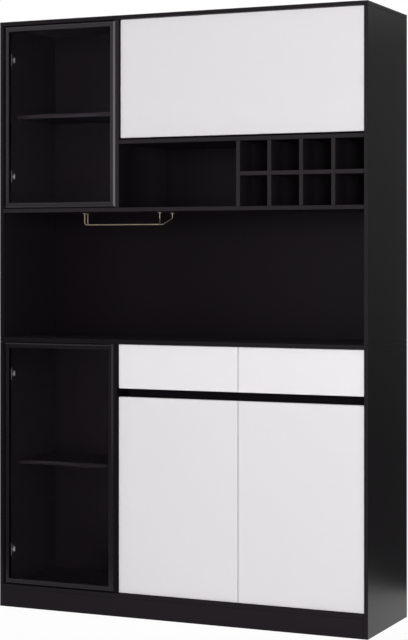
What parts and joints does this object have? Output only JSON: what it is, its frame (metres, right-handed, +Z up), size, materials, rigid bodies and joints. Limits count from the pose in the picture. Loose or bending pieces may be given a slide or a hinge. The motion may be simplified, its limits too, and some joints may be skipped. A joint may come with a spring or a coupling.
{
  "type": "tall sideboard",
  "caption": "Tall black sideboard in two parts with glass display doors, a lift-up flap, drawers and cupboard doors in white, a wine rack, a stemware rack and an open bay over the countertop.",
  "frame": {"origin": "on the floor, under the middle of the cabinet's width and depth", "axes": "+Z up from the floor to the top panel, +X to the right seen from the front, +Y from the front edges to the rear edges"},
  "size_m": [1.2, 0.35, 1.8],
  "materials": {
    "black_laminate": "satin black laminate on board",
    "black_back_panel": "matte black hardboard",
    "white_lacquer": "smooth white laminate on board",
    "grey_drawer_board": "plain grey laminate on board",
    "clear_glass": "clear float glass",
    "zinc_steel": "zinc-plated steel",
    "black_steel": "satin black paint",
    "champagne_wire": "champagne-gold wire"
  },
  "bodies": {
    "cabinet": {"base_panel": "black_laminate", "countertop": "black_laminate", "drawer_divider": "black_laminate", "drawer_rail": "black_laminate", "flap_floor_panel": "black_laminate", "flap_left_hinge_arm": "zinc_steel", "flap_right_hinge_arm": "zinc_steel", "front_plinth": "black_laminate", "left_door_bottom_hinge_arm": "zinc_steel", "left_door_top_hinge_arm": "zinc_steel", "left_drawer_left_fixed_runner": "zinc_steel", "left_drawer_right_fixed_runner": "zinc_steel", "lower_back_panel": "black_back_panel", "lower_display_shelf": "black_laminate", "lower_glass_door_bottom_hinge_arm": "zinc_steel", "lower_glass_door_top_hinge_arm": "zinc_steel", "lower_left_side": "black_laminate", "lower_partition": "black_laminate", "lower_right_side": "black_laminate", "right_door_bottom_hinge_arm": "zinc_steel", "right_door_top_hinge_arm": "zinc_steel", "right_drawer_left_fixed_runner": "zinc_steel", "right_drawer_right_fixed_runner": "zinc_steel", "stemware_rack": "champagne_wire", "top_panel": "black_laminate", "upper_back_panel": "black_back_panel", "upper_display_shelf": "black_laminate", "upper_floor_panel": "black_laminate", "upper_glass_door_bottom_hinge_arm": "zinc_steel", "upper_glass_door_top_hinge_arm": "zinc_steel", "upper_left_side": "black_laminate", "upper_partition": "black_laminate", "upper_right_side": "black_laminate", "wine_rack_divider_1": "black_laminate", "wine_rack_divider_2": "black_laminate", "wine_rack_divider_3": "black_laminate", "wine_rack_end_panel": "black_laminate", "wine_rack_shelf": "black_laminate"},
    "upper_glass_door": {"upper_glass_door_bottom_hinge_cup": "zinc_steel", "upper_glass_door_frame": "black_laminate", "upper_glass_door_glass": "clear_glass", "upper_glass_door_top_hinge_cup": "zinc_steel"},
    "lower_glass_door": {"lower_glass_door_bottom_hinge_cup": "zinc_steel", "lower_glass_door_frame": "black_laminate", "lower_glass_door_glass": "clear_glass", "lower_glass_door_top_hinge_cup": "zinc_steel"},
    "left_cupboard_door": {"left_door": "white_lacquer"},
    "right_cupboard_door": {"right_door": "white_lacquer"},
    "flap": {"flap": "white_lacquer", "flap_strut_bracket": "zinc_steel"},
    "strut_tube": {"strut_tube": "black_steel"},
    "strut_rod": {"strut_rod": "zinc_steel"},
    "left_drawer": {"left_drawer_front": "white_lacquer", "left_drawer_left_sliding_runner": "zinc_steel", "left_drawer_right_sliding_runner": "zinc_steel", "left_drawer_tray": "grey_drawer_board"},
    "right_drawer": {"right_drawer_front": "white_lacquer", "right_drawer_left_sliding_runner": "zinc_steel", "right_drawer_right_sliding_runner": "zinc_steel", "right_drawer_tray": "grey_drawer_board"}
  },
  "joints": [
    {"name": "upper_glass_door_hinge", "type": "hinge", "parent": "cabinet", "child": "upper_glass_door", "pos_m": [-0.5865, -0.174, 1.226], "axis": [0, 0, -1], "range_deg": [0, 90]},
    {"name": "lower_glass_door_hinge", "type": "hinge", "parent": "cabinet", "child": "lower_glass_door", "pos_m": [-0.5865, -0.174, 0.0705], "axis": [0, 0, -1], "range_deg": [0, 90]},
    {"name": "left_cupboard_door_hinge", "type": "hinge", "parent": "cabinet", "child": "left_cupboard_door", "pos_m": [-0.1925, -0.166, 0.0705], "axis": [0, 0, -1], "range_deg": [0, 90]},
    {"name": "right_cupboard_door_hinge", "type": "hinge", "parent": "cabinet", "child": "right_cupboard_door", "pos_m": [0.5865, -0.166, 0.0705], "axis": [0, 0, 1], "range_deg": [0, 90]},
    {"name": "flap_hinge", "type": "hinge", "parent": "cabinet", "child": "flap", "pos_m": [0.2, -0.166, 1.7872], "axis": [-1, 0, 0], "range_deg": [0, 80]},
    {"name": "strut_tube_pivot", "type": "hinge", "parent": "cabinet", "child": "strut_tube", "pos_m": [0.574, 0.045, 1.6272], "axis": [1, 0, 0], "range_deg": [0, 7.31]},
    {"name": "strut_rod_slide", "type": "slide", "parent": "strut_tube", "child": "strut_rod", "axis": [0, -0.8228, 0.5683], "range_m": [0, 0.0509]},
    {"name": "left_drawer_slide", "type": "slide", "parent": "cabinet", "child": "left_drawer", "axis": [0, -1, 0], "range_m": [0, 0.2]},
    {"name": "right_drawer_slide", "type": "slide", "parent": "cabinet", "child": "right_drawer", "axis": [0, -1, 0], "range_m": [0, 0.2]}
  ],
  "couplings": [
    {"joint": "strut_tube_pivot", "follows": "flap_hinge", "ratio": 0.090742},
    {"joint": "strut_rod_slide", "follows": "flap_hinge", "m_per_rad": 0.036222}
  ]
}
